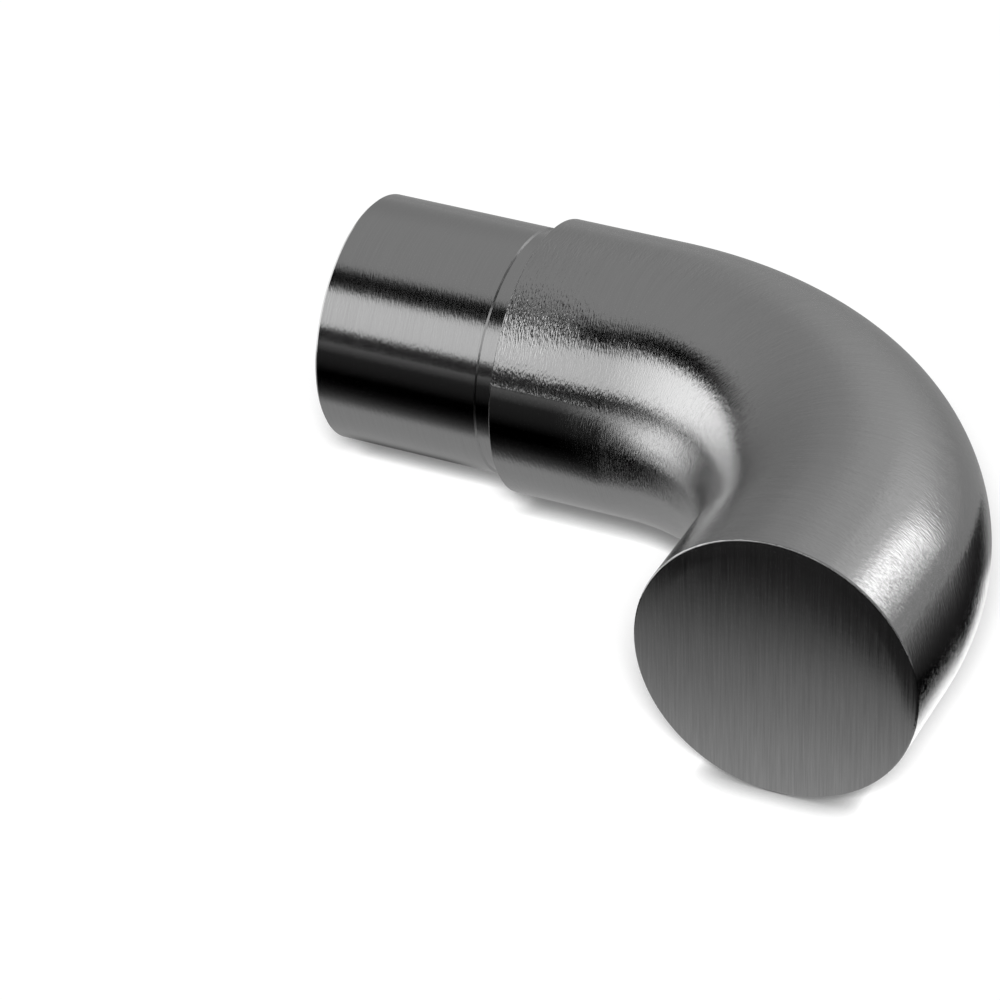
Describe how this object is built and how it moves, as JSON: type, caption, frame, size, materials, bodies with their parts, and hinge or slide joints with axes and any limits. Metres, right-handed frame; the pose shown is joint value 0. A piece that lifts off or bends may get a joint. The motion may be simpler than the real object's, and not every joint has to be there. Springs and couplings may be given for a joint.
{
  "type": "handrail end return",
  "caption": "Curved closing piece for a round handrail: a turned spigot plugs into the tube, the body bends square to the wall and ends in a flat closed face.",
  "frame": {"origin": "centre of the shoulder that the handrail tube butts on, on the tube's axis", "axes": "-X out of the spigot along the tube, +X along the inlet, -Y from the bend to the wall through the closed face, +Z square to the plane of the bend"},
  "size_m": [0.1137, 0.0822, 0.0424],
  "materials": {
    "brushed_stainless": "satin brushed, grain around the section and straight across the closed face"
  },
  "bodies": {
    "root": {"end_return": "brushed_stainless"}
  },
  "joints": []
}
